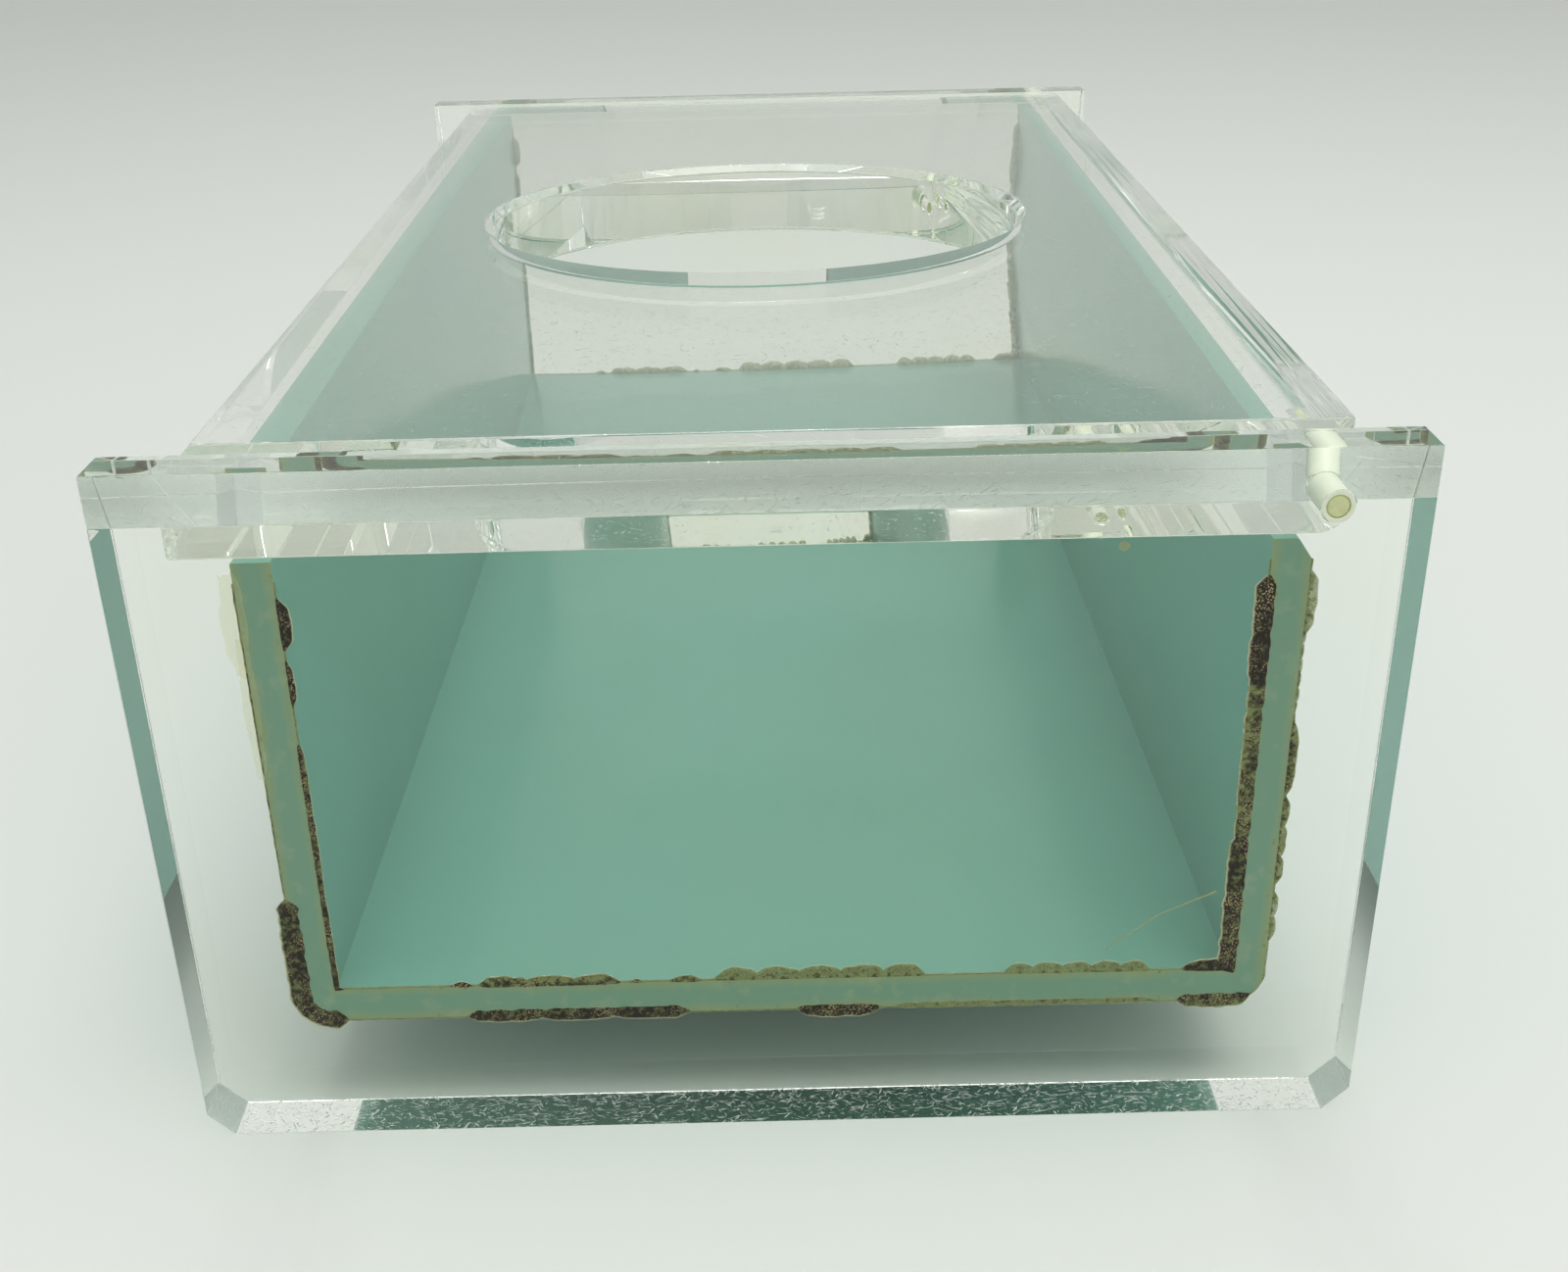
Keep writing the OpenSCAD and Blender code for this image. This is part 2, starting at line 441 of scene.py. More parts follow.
def teal_sheet(colour, low, high, wall):
    """Glossy opaque teal acrylic, faintly cloudy, with an old cement film on its two ends."""
    material, tree, shader = new_material("Teal sheet")
    age = use_group(tree, mottling(), Cloud_scale=18.0, Speck_scale=1100.0)
    lines = use_group(tree, hairlines(), Density=0.4, Scale=0.8)
    deep = tuple(0.94 * c for c in colour)
    tone = blend_colour(tree, remap(tree, age.outputs["Cloud"], 0.3, 0.7), colour, deep)
    tone = blend_colour(tree, math_node(tree, "MULTIPLY", age.outputs["Specks"], 0.2), tone, (0.7, 0.75, 0.7))
    place = tree.nodes.new("ShaderNodeTexCoord").outputs["Object"]
    split = tree.nodes.new("ShaderNodeSeparateXYZ")
    tree.links.new(place, split.inputs[0])
    end = remap(tree, math_node(tree, "ABSOLUTE", split.outputs["Y"]), high.y - 0.0003, high.y - 0.0001)
    middle = (low.x + high.x) / 2
    aside = math_node(tree, "ABSOLUTE", math_node(tree, "SUBTRACT", split.outputs["X"], middle))
    from_side = math_node(tree, "SUBTRACT", (high.x - low.x) / 2, aside)
    from_base = math_node(tree, "SUBTRACT", split.outputs["Z"], low.z)
    across = math_node(tree, "DIVIDE", math_node(tree, "MINIMUM", from_side, from_base), wall)
    patch = noise_node(tree, place, 130.0, 4.0, 0.6)
    wavy = math_node(tree, "MULTIPLY_ADD", patch, 0.5, -0.25)
    centre = math_node(tree, "ABSOLUTE", math_node(tree, "SUBTRACT", across, 0.5))
    margin = remap(tree, math_node(tree, "ADD", centre, wavy), 0.20, 0.52)
    film = blend_colour(tree, margin, (0.225, 0.40, 0.29), (0.33, 0.42, 0.22))
    streak = remap(tree, noise_node(tree, place, 420.0, 3.0), 0.55, 0.75, 0.0, 0.45)
    film = blend_colour(tree, streak, film, (0.42, 0.50, 0.33))
    dirt = remap(tree, noise_node(tree, place, 1300.0, 3.0, 0.7), 0.60, 0.72)
    dirt = math_node(tree, "MULTIPLY", dirt, math_node(tree, "MULTIPLY", margin, 0.6))
    film = blend_colour(tree, dirt, film, (0.10, 0.085, 0.03))
    tone = blend_colour(tree, end, tone, film)
    rough = remap(tree, lines.outputs["Haze"], 0.3, 0.8, 0.12, 0.22)
    bump = wire(tree, tree.nodes.new("ShaderNodeBump"), Strength=0.2, Distance=0.00002,
                Height=lines.outputs["Scratches"])
    tree.links.new(tone, shader.inputs["Base Color"])
    tree.links.new(rough, shader.inputs["Roughness"])
    tree.links.new(bump.outputs["Normal"], shader.inputs["Normal"])
    shader.inputs["IOR"].default_value = ACRYLIC_IOR
    return material


def nylon(name, colour):
    """Yellowed pin plastic with dark sawn specks."""
    material, tree, shader = new_material(name)
    age = use_group(tree, mottling(), Cloud_scale=420.0, Speck_scale=2600.0)
    dark = (0.20, 0.18, 0.03)
    tone = blend_colour(tree, remap(tree, age.outputs["Cloud"], 0.35, 0.75), colour,
                        tuple(0.72 * c for c in colour))
    tone = blend_colour(tree, age.outputs["Specks"], tone, dark)
    tree.links.new(tone, shader.inputs["Base Color"])
    tree.links.new(remap(tree, age.outputs["Cloud"], 0.3, 0.7, 0.35, 0.5), shader.inputs["Roughness"])
    shader.inputs["Subsurface Weight"].default_value = 0.25
    shader.inputs["Subsurface Scale"].default_value = 0.001
    return material


def cloudy_bushing():
    """Pale cloudy plastic sleeve."""
    material, tree, shader = new_material("Cloudy bushing")
    age = use_group(tree, mottling(), Cloud_scale=600.0, Speck_scale=2200.0)
    tone = blend_colour(tree, age.outputs["Cloud"], (0.95, 0.97, 0.86), (0.90, 0.93, 0.76))
    tree.links.new(tone, shader.inputs["Base Color"])
    tree.links.new(remap(tree, age.outputs["Cloud"], 0.3, 0.7, 0.25, 0.45), shader.inputs["Roughness"])
    shader.inputs["IOR"].default_value = ACRYLIC_IOR
    return material


def aged_cement(fresh, burnt):
    """Glossy cement: clear cream at its rim, bubbly brown where 'aged' rises, thin where 'film' rises."""
    material, tree, shader = new_material("Aged cement")
    place = tree.nodes.new("ShaderNodeTexCoord").outputs["Object"]
    aged = tree.nodes.new("ShaderNodeAttribute")
    aged.attribute_name = "aged"
    reach = tree.nodes.new("ShaderNodeAttribute")
    reach.attribute_name = "reach"
    film = tree.nodes.new("ShaderNodeAttribute")
    film.attribute_name = "film"
    grain = noise_node(tree, place, 1000.0, 4.0, 0.7)
    cells = tree.nodes.new("ShaderNodeTexVoronoi")
    wire(tree, cells, Vector=place, Scale=3300.0)
    bubbles = remap(tree, cells.outputs["Distance"], 0.46, 0.24)
    patches = remap(tree, noise_node(tree, place, 260.0, 3.0), 0.40, 0.60)
    rim = remap(tree, reach.outputs["Fac"], 0.86, 0.97)
    wild = remap(tree, grain, 0.38, 0.62, -0.42, 0.42)
    young = math_node(tree, "SUBTRACT", 1.0, aged.outputs["Fac"])
    fade = math_node(tree, "MULTIPLY", math_node(tree, "MULTIPLY", reach.outputs["Fac"], young), 0.75)
    amount = math_node(tree, "SUBTRACT", math_node(tree, "ADD", wild, aged.outputs["Fac"]), fade)
    amount = math_node(tree, "SUBTRACT", amount, math_node(tree, "MULTIPLY", rim, 0.45))
    tone = blend_colour(tree, remap(tree, amount, 0.10, 0.36), fresh, (0.150, 0.165, 0.065))
    tone = blend_colour(tree, remap(tree, amount, 0.40, 0.85), tone, burnt)
    dots = math_node(tree, "MULTIPLY", bubbles, remap(tree, amount, 0.15, 0.6, 0.1, 0.85))
    tone = blend_colour(tree, math_node(tree, "MULTIPLY", dots, patches), tone, (0.62, 0.50, 0.29))
    tone = blend_colour(tree, math_node(tree, "MULTIPLY", rim, 0.7), tone, (0.86, 0.86, 0.62))
    tone = blend_colour(tree, film.outputs["Fac"], tone, (1.0, 0.97, 0.58))
    tree.links.new(tone, shader.inputs["Base Color"])
    bump = wire(tree, tree.nodes.new("ShaderNodeBump"), Strength=0.6, Distance=0.00012, Height=grain)
    tree.links.new(bump.outputs["Normal"], shader.inputs["Normal"])
    tree.links.new(remap(tree, grain, 0.3, 0.7, 0.12, 0.35), shader.inputs["Roughness"])
    shader.inputs["Specular IOR Level"].default_value = 0.08
    solid = remap(tree, amount, -0.2, 0.25, 0.5, 1.0)
    thin = remap(tree, film.outputs["Fac"], 0.0, 0.8, 1.0, 0.3)
    tree.links.new(math_node(tree, "MULTIPLY", solid, thin), shader.inputs["Alpha"])
    return material


def stage_material():
    """Plain pale matt floor."""
    material, tree, shader = new_material("Pale floor")
    age = use_group(tree, mottling(), Cloud_scale=2.0, Speck_scale=300.0)
    tone = blend_colour(tree, age.outputs["Cloud"], (0.83, 0.84, 0.82), (0.81, 0.82, 0.80))
    tree.links.new(tone, shader.inputs["Base Color"])
    shader.inputs["Roughness"].default_value = 0.6
    return material


# ------------------------------------------------------------------ operators
class CARDBOX_OT_stage(bpy.types.Operator):
    """Makes the floor, the soft lights and the camera"""

    bl_idname = "cardbox.stage"
    bl_label = "Stage and camera"

    def execute(self, context):
        scene = context.scene
        scene.view_settings.view_transform = "Standard"
        scene.view_settings.gamma = 0.85
        light_paths(scene.cycles)
        bm = bmesh.new()
        bmesh.ops.create_circle(bm, cap_ends=True, segments=64, radius=6.0)
        mesh = bpy.data.meshes.new("floor")
        bm.to_mesh(mesh)
        bm.free()
        floor = bpy.data.objects.new("floor", mesh)
        floor.data.materials.append(stage_material())
        floor.data.transform(Matrix.Translation((0, 0, CAD_LOW.z - 0.1 * MM)))
        scene.collection.objects.link(floor)
        scene.world = studio_world()
        soft_lamp("Overhead", (0.15, -0.2, 1.1), (0.05, -0.15, 0), 0.8, 5.4)
        soft_lamp("Front fill", (0.9, -1.3, 0.9), (0.1, -0.3, 0.0), 0.8, 1.0)
        for step in (-1, 0, 1):
            glint_lamp(step)
        viewing_camera(scene)
        return {"FINISHED"}


def light_paths(cycles):
    """Enough bounces for light that is trapped inside thick clear sheet."""
    cycles.max_bounces = 40
    cycles.glossy_bounces = 36
    cycles.transmission_bounces = 40
    cycles.diffuse_bounces = 5
    cycles.transparent_max_bounces = 40
    cycles.caustics_reflective = False
    cycles.caustics_refractive = False


def studio_world():
    """Pale surroundings: bright overhead, dimmer low down and where the maker stands."""
    world = bpy.data.worlds.new("Studio")
    world.use_nodes = True
    tree = world.node_tree
    place = tree.nodes.new("ShaderNodeTexCoord").outputs["Generated"]
    split = tree.nodes.new("ShaderNodeSeparateXYZ")
    tree.links.new(place, split.inputs[0])
    height = remap(tree, split.outputs["Z"], 0.12, 0.85)
    room = blend_colour(tree, height, (0.56, 0.585, 0.555), (0.90, 0.93, 0.89))
    away = tree.nodes.new("ShaderNodeVectorMath")
    away.operation = "DISTANCE"
    tree.links.new(place, away.inputs[0])
    away.inputs[1].default_value = Vector((0.12, -0.86, 0.5)).normalized()
    figure = remap(tree, away.outputs["Value"], 0.26, 0.16)
    room = blend_colour(tree, figure, room, (0.08, 0.08, 0.085))
    rays = tree.nodes.new("ShaderNodeLightPath")
    soft = math_node(tree, "MULTIPLY", rays.outputs["Is Diffuse Ray"], 0.30)
    room = blend_colour(tree, soft, room, (0.0, 0.0, 0.0))
    room = blend_colour(tree, rays.outputs["Is Camera Ray"], room, (0.60, 0.655, 0.60))
    tree.links.new(room, tree.nodes["Background"].inputs["Color"])
    return world


def glint_lamp(step):
    """One of three small bright lamps in a row overhead."""
    data = bpy.data.lights.new("Small lamp", "AREA")
    data.shape = "DISK"
    data.size = 0.035
    data.energy = 0.35
    lamp = bpy.data.objects.new("Small lamp", data)
    place = Vector((-0.05 + 0.09 * step, 0.55, 1.2))
    aim = Vector((0, 0, 0.05)) - place
    lamp.matrix_world = Matrix.Translation(place) @ aim.to_track_quat("-Z", "Y").to_matrix().to_4x4()
    bpy.context.scene.collection.objects.link(lamp)


def soft_lamp(name, place, target, size, power):
    """A square soft light aimed at a point."""
    data = bpy.data.lights.new(name, "AREA")
    data.shape = "SQUARE"
    data.size = size
    data.energy = power
    lamp = bpy.data.objects.new(name, data)
    aim = Vector(target) - Vector(place)
    lamp.matrix_world = Matrix.Translation(place) @ aim.to_track_quat("-Z", "Y").to_matrix().to_4x4()
    bpy.context.scene.collection.objects.link(lamp)


def viewing_camera(scene):
    """A camera before the front plate, looking down at the lid, slightly rolled."""
    right = Vector((1, 0, 0))
    up = Vector((0, math.sin(CAMERA_PITCH), math.cos(CAMERA_PITCH)))
    look = Vector((0, math.cos(CAMERA_PITCH), -math.sin(CAMERA_PITCH)))
    cam_x = math.cos(CAMERA_ROLL) * right - math.sin(CAMERA_ROLL) * up
    cam_y = math.sin(CAMERA_ROLL) * right + math.cos(CAMERA_ROLL) * up
    turn = Matrix((cam_x, cam_y, -look)).transposed().to_4x4()
    data = bpy.data.cameras.new("Camera")
    data.sensor_width = 36.0
    data.lens = CAMERA_LENS
    data.shift_y = CAMERA_SHIFT
    data.clip_start = 0.01
    camera = bpy.data.objects.new("Camera", data)
    camera.matrix_world = Matrix.Translation(CAMERA_PLACE) @ turn
    scene.collection.objects.link(camera)
    scene.camera = camera


def satin_sheet(tint):
    """Sanded clear acrylic of the small foot cuts."""
    material, tree, shader = new_material("Sanded clear sheet")
    lines = use_group(tree, hairlines(), Density=1.2, Scale=1.5)
    age = use_group(tree, mottling(), Cloud_scale=300.0, Speck_scale=1500.0)
    colour = blend_colour(tree, age.outputs["Cloud"], tint, tuple(0.93 * c for c in tint))
    tree.links.new(colour, shader.inputs["Base Color"])
    tree.links.new(remap(tree, lines.outputs["Haze"], 0.3, 0.7, 0.5, 0.75), shader.inputs["Roughness"])
    bump = wire(tree, tree.nodes.new("ShaderNodeBump"), Strength=0.6, Distance=0.00005,
                Height=lines.outputs["Scratches"])
    tree.links.new(bump.outputs["Normal"], shader.inputs["Normal"])
    shader.inputs["IOR"].default_value = ACRYLIC_IOR
    shader.inputs["Transmission Weight"].default_value = 0.6
    through_lamps(tree, shader)
    return material


def through_lamps(tree, shader):
    """Lets lamp light pass straight through a clear finish."""
    through = tree.nodes.new("ShaderNodeBsdfTransparent")
    through.inputs["Color"].default_value = (0.93, 0.955, 0.935, 1.0)
    rays = tree.nodes.new("ShaderNodeLightPath")
    surface = shader.outputs[0]
    for kind in ("Is Diffuse Ray", "Is Shadow Ray"):
        mix = tree.nodes.new("ShaderNodeMixShader")
        tree.links.new(rays.outputs[kind], mix.inputs[0])
        tree.links.new(surface, mix.inputs[1])
        tree.links.new(through.outputs[0], mix.inputs[2])
        surface = mix.outputs[0]
    tree.links.new(surface, tree.nodes["Material Output"].inputs["Surface"])


def plate_piece(sizes, front, material, sanded):
    """One end plate: feet cut, bevelled along its top towards +Y, bored for its bushing."""
    node = "front_end_plate" if front else "rear_end_plate"
    low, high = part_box("front_end_plate")
    bm = bmesh.new()
    block(bm, low, high)
    feet = edges_along(bm, 1, lambda p: p.z < low.z + MM)
    chamfer(bm, feet, sizes.foot_cut)
    run = (high.y - low.y) - sizes.top_flat
    slope = Vector((0, sizes.bevel_drop, run)).normalized()
    cut = bmesh.ops.bisect_plane(
        bm, geom=bm.verts[:] + bm.edges[:] + bm.faces[:], dist=1e-7,
        plane_co=(0, low.y + sizes.top_flat, high.z), plane_no=slope, clear_outer=True)
    rim = [g for g in cut["geom_cut"] if isinstance(g, bmesh.types.BMEdge)]
    bmesh.ops.holes_fill(bm, edges=rim, sides=0)
    if not front:
        bmesh.ops.translate(bm, vec=(0, CAD_HIGH.y - high.y, 0), verts=bm.verts[:])
    bmesh.ops.recalc_face_normals(bm, faces=bm.faces[:])
    piece = keep(bm, node + "_sheet", "plate_acrylic", node)
    ring_low, ring_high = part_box("front_pin_bushing")
    radius = (ring_high.x - ring_low.x) / 2
    x, z = pin_axis()
    bm = bmesh.new()
    turned(bm, ((0, -MM), (radius, -MM), (radius, 20 * MM), (0, 20 * MM)), 48)
    lay_along_y(bm, x, z, low.y if front else -low.y, front)
    carve(piece, tool_object(bm, "drill"))
    shade(piece, SHARP)
    polish(piece, sizes.polish)
    piece.data.materials.clear()
    piece.data.materials.append(material)
    piece.data.materials.append(sanded)
    for face in piece.data.polygons:
        face.material_index = 1 if face.normal.z < -0.3 and abs(face.normal.x) > 0.3 else 0
    return piece


class CARDBOX_OT_end_plates(bpy.types.Operator):
    """Makes the two clear end plates"""

    bl_idname = "cardbox.end_plates"
    bl_label = "End plates"

    def execute(self, context):
        sizes, colours = settings()
        material = clear_sheet("Clear plate sheet", tuple(colours.clear), 0.15, True)
        sanded = satin_sheet(tuple(colours.clear))
        for front in (True, False):
            plate_piece(sizes, front, material, sanded)
        return {"FINISHED"}


class CARDBOX_OT_lid(bpy.types.Operator):
    """Makes the thick clear lid with its round hole"""

    bl_idname = "cardbox.lid"
    bl_label = "Lid"

    def execute(self, context):
        sizes, colours = settings()
        low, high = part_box("lid_panel")
        bm = bmesh.new()
        block(bm, low, high)
        chamfer(bm, edges_along(bm, 1, lambda p: p.z > high.z - MM and p.x < 0), sizes.lid_bevel)
        chamfer(bm, edges_along(bm, 1, lambda p: p.z < low.z + MM and p.x > 0), sizes.lid_round, 14)
        piece = keep(bm, "lid_sheet", "lid_acrylic", "lid_panel")
        bm = bmesh.new()
        r, top, under = sizes.hole_radius, sizes.rim_cut, sizes.rim_cut_low
        turned(bm, ((0, low.z - MM), (r + under + MM, low.z - MM), (r, low.z + under),
                    (r, high.z - top), (r + top + MM, high.z + MM), (0, high.z + MM)), 180)
        bmesh.ops.translate(bm, vec=(sizes.hole_side, 0, 0), verts=bm.verts[:])
        carve(piece, tool_object(bm, "hole saw"))
        x, z = pin_axis()
        pin_low, pin_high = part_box("front_hinge_pin")
        radius = (pin_high.x - pin_low.x) / 2 + 0.05 * MM
        for front in (True, False):
            bm = bmesh.new()
            depth = pin_high.y - low.y + MM
            turned(bm, ((0, -MM), (radius, -MM), (radius, depth - 0.4 * MM), (0, depth)), 40)
            lay_along_y(bm, x, z, low.y if front else -low.y, front)
            carve(piece, tool_object(bm, "drill"))
        shade(piece, SHARP)
        polish(piece, sizes.polish)
        piece.data.materials.clear()
        piece.data.materials.append(clear_sheet("Clear lid sheet", tuple(colours.clear), 0.1, False))
        return {"FINISHED"}


class CARDBOX_OT_trough(bpy.types.Operator):
    """Makes the teal trough from one bent sheet"""

    bl_idname = "cardbox.trough"
    bl_label = "Trough"

    def execute(self, context):
        sizes, colours = settings()
        low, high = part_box("card_trough")
        wall = sizes.wall
        corners = (
            (low.x, high.z), (low.x, low.z), (high.x, low.z),
            (high.x, high.z - sizes.wall_cut_height), (high.x - sizes.wall_cut_width, high.z),
            (high.x - wall, high.z), (high.x - wall, low.z + wall),
            (low.x + wall, low.z + wall), (low.x + wall, high.z))
        bm = bmesh.new()
        section = bm.faces.new([bm.verts.new((x, low.y - BOND, z)) for x, z in corners])
        swept = bmesh.ops.extrude_face_region(bm, geom=[section])["geom"]
        far = [g for g in swept if isinstance(g, bmesh.types.BMVert)]
        bmesh.ops.translate(bm, vec=(0, high.y - low.y + 2 * BOND, 0), verts=far)
        bmesh.ops.recalc_face_normals(bm, faces=bm.faces[:])
        chamfer(bm, edges_along(bm, 1, lambda p: p.z < low.z + 0.1 * MM), sizes.bend, 10)
        soften_rims(bm, 0.2 * MM, 1)
        piece = keep(bm, "trough_sheet", "teal_acrylic", "card_trough")
        piece.data.materials.append(teal_sheet(tuple(colours.teal), low, high, wall))
        return {"FINISHED"}


class CARDBOX_OT_hinge(bpy.types.Operator):
    """Makes the two hinge pins and their bushings"""

    bl_idname = "cardbox.hinge"
    bl_label = "Hinge pins"

    def execute(self, context):
        _, colours = settings()
        pin_finish = nylon("Yellowed pin", tuple(colours.nylon))
        ring_finish = cloudy_bushing()
        x, z = pin_axis()
        for end in ("front", "rear"):
            front = end == "front"
            low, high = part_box(end + "_hinge_pin")
            radius = (high.x - low.x) / 2
            length = high.y - low.y
            outer = low.y if front else high.y
            soft = 0.25 * MM
            bm = bmesh.new()
            turned(bm, ((0, 0.12 * MM), (radius - 2 * soft, 0.08 * MM), (radius - soft, 0.1 * MM),
                        (radius - 0.01 * MM, soft + 0.1 * MM), (radius - 0.01 * MM, length - soft),
                        (radius - soft, length), (0, length)), 40)
            lay_along_y(bm, x, z, outer, front)
            pin = keep(bm, end + "_pin", "yellowed_nylon", end + "_hinge_pin")
            pin.data.materials.append(pin_finish)
            low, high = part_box(end + "_pin_bushing")
            outside = (high.x - low.x) / 2 + BOND
            length = high.y - low.y
            bm = bmesh.new()
            turned(bm, ((radius, 0.1 * MM), (radius + 0.1 * MM, 0.02 * MM), (outside, 0.02 * MM),
                        (outside, length), (radius, length), (radius, 0.1 * MM)), 48)
            lay_along_y(bm, x, z, outer, front)
            ring = keep(bm, end + "_bushing", "cloudy_bushing", end + "_pin_bushing")
            ring.data.materials.append(ring_finish)
        return {"FINISHED"}


def outline(low, high, corner, count):
    """Evenly spaced points and outward directions down one side, along the base and up the other."""
    side = high.z - low.z - corner
    base = high.x - low.x - 2 * corner
    arc = corner * math.pi / 2
    total = 2 * side + base + 2 * arc
    course = []
    for step in range(count + 1):
        left = total * step / count
        mirrored = left > total / 2
        if mirrored:
            left = total - left
        if left <= side:
            point, away = Vector((low.x, 0, high.z - left)), Vector((-1, 0, 0))
        elif left < side + arc:
            turn = (left - side) / corner
            away = Vector((-math.cos(turn), 0, -math.sin(turn)))
            point = Vector((low.x + corner, 0, low.z + corner)) + away * corner
        else:
            point = Vector((low.x + corner + left - side - arc, 0, low.z))
            away = Vector((0, 0, -1))
        if mirrored:
            point.x = low.x + high.x - point.x
            away.x = -away.x
        course.append((point, away))
    return course


def swell(at, start, end, soft):
    """1 between two places on a run, falling off softly on both sides."""
    rise = min(1.0, max(0.0, (at - start) / soft))
    fall = min(1.0, max(0.0, (end - at) / soft))
    return min(rise, fall) ** 0.6


def bead_piece(name, node, outward, runs, seed, material, extras=()):
    """A scalloped cement bead along a trough end.

    runs are (start, end, width, age, scallops, overlap) stretches along the bead, 0 at
    the top of the left side and 1 at the top of the right side."""
    low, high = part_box(node)
    front = low.y < 0
    tlow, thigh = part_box("card_trough")
    wall = bpy.context.scene.card_box_sizes.wall
    if outward:
        base_low, base_high = Vector((tlow.x, 0, tlow.z)), Vector((thigh.x, 0, high.z))
    else:
        base_low = Vector((tlow.x + wall, 0, tlow.z + wall))
        base_high = Vector((thigh.x - wall, 0, high.z))
    limit = 1.8 * MM
    count = 900
    corner = bpy.context.scene.card_box_sizes.bend if outward else 0.0
    course = outline(base_low, base_high, corner, count)
    points = [point for point, _ in course]
    face_y = low.y - 1.5 * BOND if front else high.y + 1.5 * BOND
    inward = 1 if front else -1
    staleness = 1.0 if front else 0.4
    deepest = high.y - low.y
    bm = bmesh.new()
    aged = bm.verts.layers.float.new("aged")
    reach = bm.verts.layers.float.new("reach")
    film = bm.verts.layers.float.new("film")
    levels = ((0.0, 0.0), (0.0, 0.9), (0.5, 0.75), (0.85, 0.4), (1.0, 0.1), (0.97, 0.0))
    rows = [[bm.verts.new(p) for p in points]]
    edges = [bm.edges.new(pair) for pair in zip(rows[0], rows[0][1:])]
    for _ in levels:
        made = bmesh.ops.extrude_edge_only(bm, edges=edges)["geom"]
        fresh = {g for g in made if isinstance(g, bmesh.types.BMVert)}
        edges = [g for g in made if isinstance(g, bmesh.types.BMEdge) and set(g.verts) <= fresh]
        before = {v: i for i, v in enumerate(rows[-1])}
        order = {}
        for vert in fresh:
            for edge in vert.link_edges:
                other = edge.other_vert(vert)
                if other in before:
                    order[before[other]] = vert
        rows.append([order[i] for i in range(len(points))])
    for row, (out, deep) in zip(rows, levels + (levels[0],)):
        for index, vert in enumerate(row):
            at = index / count
            ripple = noise.noise(Vector((at * 30.0, seed, 0.0)))
            lump = noise.noise(Vector((at * 160.0, seed + 9.0, 0.0)))
            width = 0.13 + 0.05 * lump
            age = 0.18
            over = 0.03 * MM
            for start, end, wide, old, scallops, lap in runs:
                share = swell(at, start, end, 0.006)
                turn = (at - start) / (end - start) * scallops + 0.12 * ripple
                dome = math.sqrt(max(0.0, 1.0 - (2.0 * (turn % 1.0) - 1.0) ** 2))
                shape = 0.45 + 0.55 * dome if scallops else 0.9 + 0.25 * ripple
                width = max(width, share * wide * shape * (1.0 + 0.18 * lump))
                age = max(age, old if share > 0.3 else 0.0)
                over = max(over, share * lap * MM * (1.0 + 0.3 * lump))
            width = max(0.05, min(1.4, width)) * limit
            away = course[index][1] if outward else inner_direction(course, index, width)
            flat = deep == 0.0 and out == 0.0
            place = points[index] + away * (out * width - (over if flat else 0.03 * MM))
            place.y = face_y + inward * deepest * min(0.95, deep * (0.3 + 0.65 * min(1.0, width / limit)))
            vert.co = place
            vert[aged] = age * staleness
            vert[reach] = out
    bmesh.ops.remove_doubles(bm, verts=bm.verts[:], dist=1e-7)
    bmesh.ops.holes_fill(bm, edges=[e for e in bm.edges if e.is_boundary], sides=0)
    for blob in extras:
        add_blob(bm, blob, face_y, inward, (aged, reach, film))
    if front and not outward:
        wide = 0.26 * MM
        ends = ((43.2, 20.8), (50.5, 26.4), (57.6, 29.6))
        knots = [Vector((x * MM, face_y + 0.5 * wide, z * MM)) for x, z in ends]
        for start, end in zip(knots, knots[1:]):
            add_thread(bm, end, start, wide, (aged, reach))
    bmesh.ops.recalc_face_normals(bm, faces=bm.faces[:])
    piece = keep(bm, name, "aged_cement", node, smooth=math.radians(50))
    piece.data.materials.append(material)
    return piece


def inner_direction(course, index, width):
    """Direction into the box, mitred at the two inner corners so that a bead doesn't fold there."""
    point, away = course[index]
    left, right = course[0][0].x, course[-1][0].x
    base = min(p.z for p, _ in course[::50])
    towards = -away
    if abs(away.x) > 0.5 and point.z - base < width:
        towards = towards + Vector((0, 0, 1.0 - (point.z - base) / width))
    if abs(away.z) > 0.5:
        near = min(point.x - left, right - point.x)
        if near < width:
            sign = 1.0 if point.x - left < right - point.x else -1.0
            towards = towards + Vector((sign * (1.0 - near / width), 0, 0))
    return towards


def add_blob(bm, blob, face_y, inward, layers):
    """A flat irregular drop or run of cement on a plate's inner face.

    blob is (x, z, half width, half height, thickness, age, film, seed)."""
    x, z, half_wide, half_high, thick, age, thin, seed = blob
    made = bmesh.ops.create_uvsphere(bm, u_segments=40, v_segments=8, radius=1.0)["verts"]
    for vert in made:
        ray = Vector((vert.co.x, vert.co.y, 0)).normalized() if vert.co.xy.length > 1e-6 else Vector()
        ragged = 1.0 + 0.35 * noise.noise(Vector((ray.x * 1.6, ray.y * 1.6, seed)))
        ragged += 0.12 * noise.noise(Vector((ray.x * 6.0, ray.y * 6.0, seed)))
        depth = max(0.0, vert.co.z)
        vert[layers[0]] = age
        vert[layers[1]] = min(1.0, vert.co.xy.length) * 0.9
        vert[layers[2]] = thin
        vert.co = Vector((x + vert.co.x * half_wide * ragged, face_y + inward * depth * thick,
                          z + vert.co.y * half_high * ragged))
    bmesh.ops.remove_doubles(bm, verts=made, dist=1e-8)


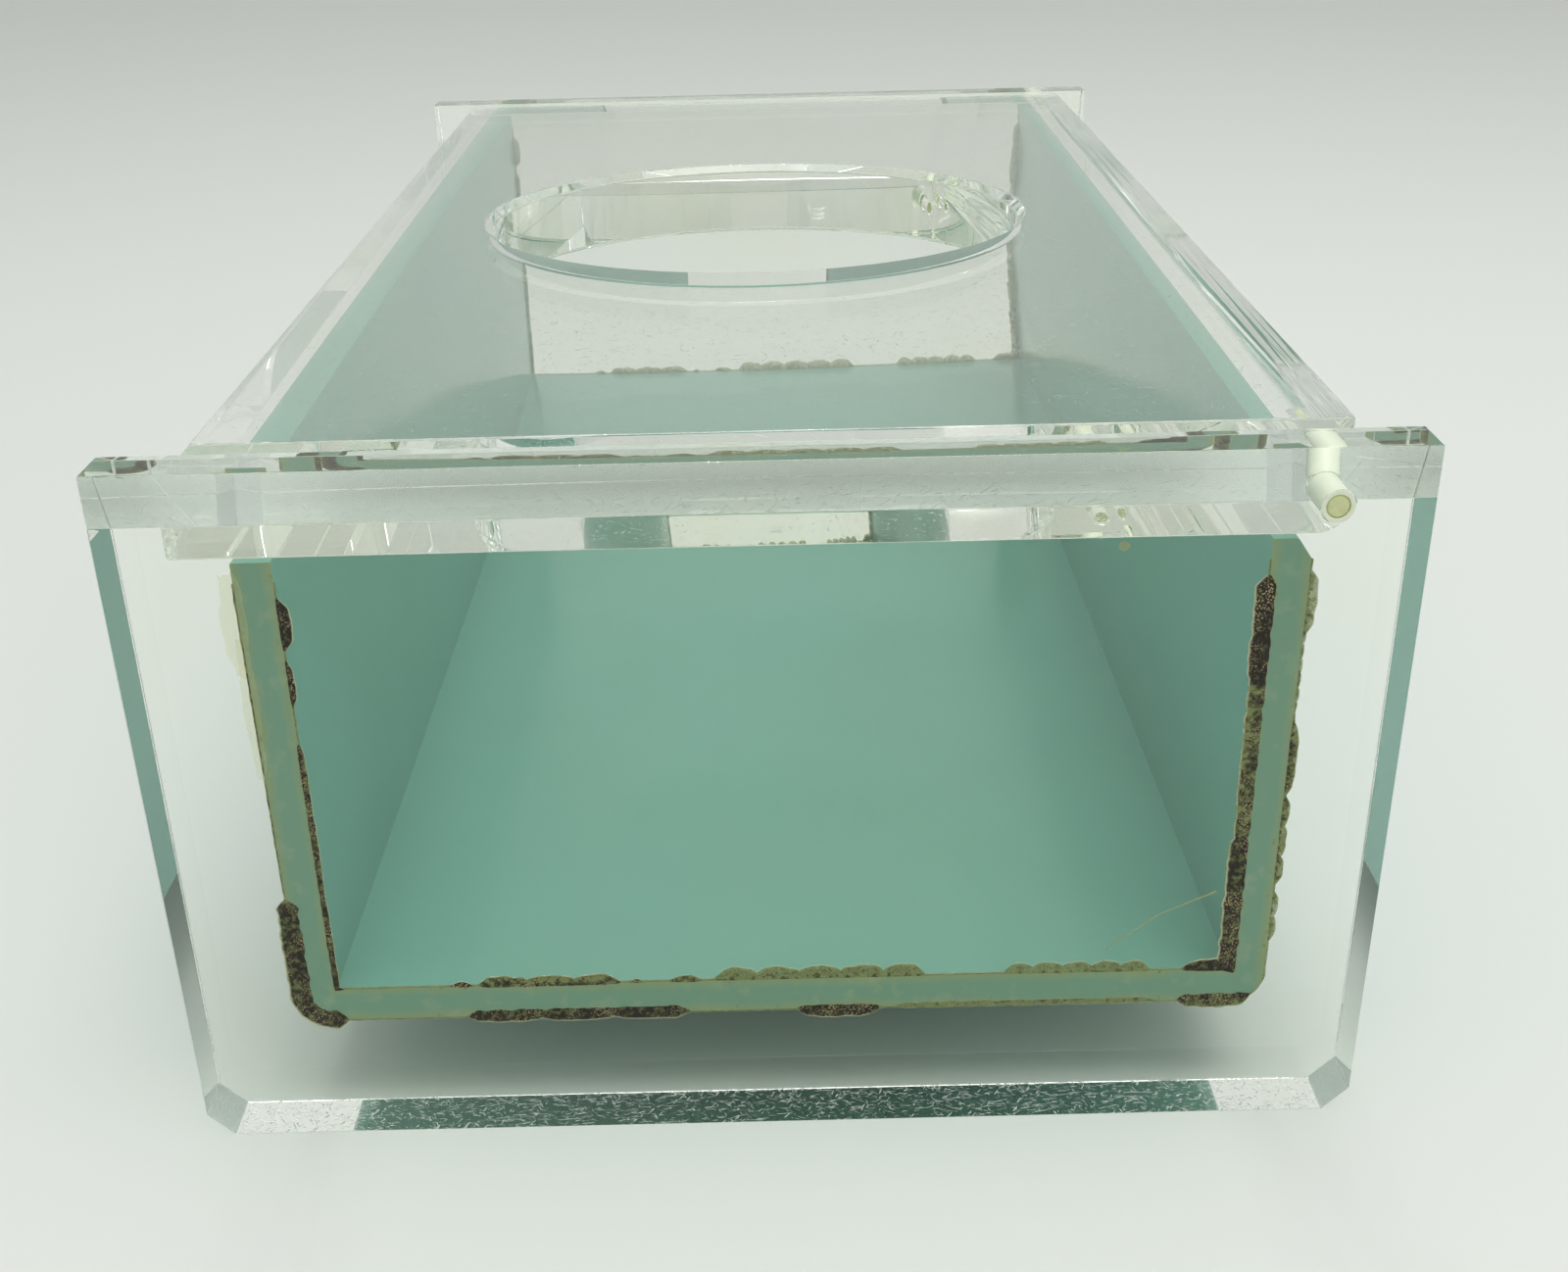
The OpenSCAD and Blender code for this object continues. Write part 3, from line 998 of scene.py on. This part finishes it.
def add_thread(bm, start, end, width, layers):
    """A fine pulled string of cement between two points."""
    run = end - start
    made = bmesh.ops.create_cone(
        bm, cap_ends=True, segments=10, radius1=width * 0.5, radius2=width * 0.28, depth=run.length)["verts"]
    turn = run.to_track_quat("Z", "Y").to_matrix().to_4x4()
    bmesh.ops.transform(bm, matrix=Matrix.Translation((start + end) / 2) @ turn, verts=made)
    for vert in made:
        vert[layers[0]] = 0.05
        vert[layers[1]] = 0.9


class CARDBOX_OT_cement(bpy.types.Operator):
    """Makes the aged cement beads at both trough ends"""

    bl_idname = "cardbox.cement"
    bl_label = "Cement beads"

    def execute(self, context):
        _, colours = settings()
        finish = aged_cement(tuple(colours.cement), tuple(colours.burnt))
        inner = (
            (0.008, 0.038, 0.85, 1.0, 1, 0.1), (0.042, 0.070, 0.48, 0.95, 1, 0.1),
            (0.090, 0.250, 0.36, 0.75, 0, 0.3), (0.310, 0.324, 0.45, 0.85, 1, 0.2),
            (0.326, 0.408, 0.80, 0.60, 3, 0.3), (0.413, 0.421, 0.45, 0.7, 1, 0.2),
            (0.435, 0.455, 0.5, 0.6, 1, 0.2), (0.461, 0.582, 1.10, 0.30, 5, 0.1),
            (0.626, 0.710, 0.95, 0.20, 5, 0.1), (0.728, 0.765, 0.9, 0.85, 0, 0.3),
            (0.750, 0.842, 1.0, 0.80, 0, 0.9), (0.835, 0.95, 0.80, 0.62, 0, 0.9),
            (0.930, 0.992, 0.95, 1.0, 0, 0.9))
        outer = (
            (0.002, 0.172, 0.12, 0.45, 0, 0.0), (0.174, 0.266, 0.95, 0.80, 0, 1.4),
            (0.33, 0.45, 0.62, 0.85, 3, 0.9), (0.507, 0.553, 0.85, 0.9, 1, 0.5),
            (0.56, 0.70, 0.22, 0.3, 9, 0.5), (0.712, 0.752, 0.75, 0.7, 1, 0.9),
            (0.786, 0.818, 0.50, 0.25, 2, 0.0), (0.820, 0.874, 0.55, 0.45, 3, 0.1),
            (0.872, 0.916, 0.62, 0.60, 1, 0.1), (0.918, 0.972, 0.22, 0.3, 7, 0.0),
            (0.960, 0.995, 0.70, 0.10, 1, 0.0))
        halo = tuple((x * MM, z * MM, wide * MM, tall * MM, 0.05 * MM, -0.8, 0.75, seed)
                     for x, z, wide, tall, seed in ((-63.5, 69.5, 1.6, 7.0, 1.0), (-63.2, 58, 1.0, 9, 2.0)))
        flake = ((42.6 * MM, 77.0 * MM, 0.7 * MM, 0.55 * MM, 0.12 * MM, -0.4, 0.2, 5.0),)
        for end, seed in (("front", 3.0), ("rear", 17.0)):
            bead_piece(end + "_inner_bead", end + "_inner_cement", False, inner, seed, finish,
                       flake if end == "front" else ())
            bead_piece(end + "_outer_bead", end + "_outer_cement", True, outer, seed + 5, finish, halo)
        return {"FINISHED"}


class CARDBOX_PT_panel(bpy.types.Panel):
    """Lists the operators and sizes of the card box"""

    bl_idname = "CARDBOX_PT_panel"
    bl_label = "Card Box"
    bl_space_type = "VIEW_3D"
    bl_region_type = "UI"
    bl_category = "Card Box"

    def draw(self, context):
        for made in OPERATORS:
            self.layout.operator(made.bl_idname)
        for group in (context.scene.card_box_sizes, context.scene.card_box_colours):
            for name in group.bl_rna.properties.keys():
                if name not in ("rna_type", "name"):
                    self.layout.prop(group, name)


OPERATORS = (CARDBOX_OT_stage, CARDBOX_OT_end_plates, CARDBOX_OT_lid, CARDBOX_OT_trough,
             CARDBOX_OT_hinge, CARDBOX_OT_cement)
CLASSES = (CardBoxSizes, CardBoxColours) + OPERATORS + (CARDBOX_PT_panel,)


def register():
    """Registers the classes and the two settings groups."""
    for made in CLASSES:
        bpy.utils.register_class(made)
    bpy.types.Scene.card_box_sizes = bpy.props.PointerProperty(type=CardBoxSizes)
    bpy.types.Scene.card_box_colours = bpy.props.PointerProperty(type=CardBoxColours)


def unregister():
    """Removes them again."""
    del bpy.types.Scene.card_box_colours
    del bpy.types.Scene.card_box_sizes
    for made in reversed(CLASSES):
        bpy.utils.unregister_class(made)


def main():
    """Builds everything."""
    register()
    for made in OPERATORS:
        group, name = made.bl_idname.split(".")
        getattr(getattr(bpy.ops, group), name)()


if __name__ == "__main__":
    main()
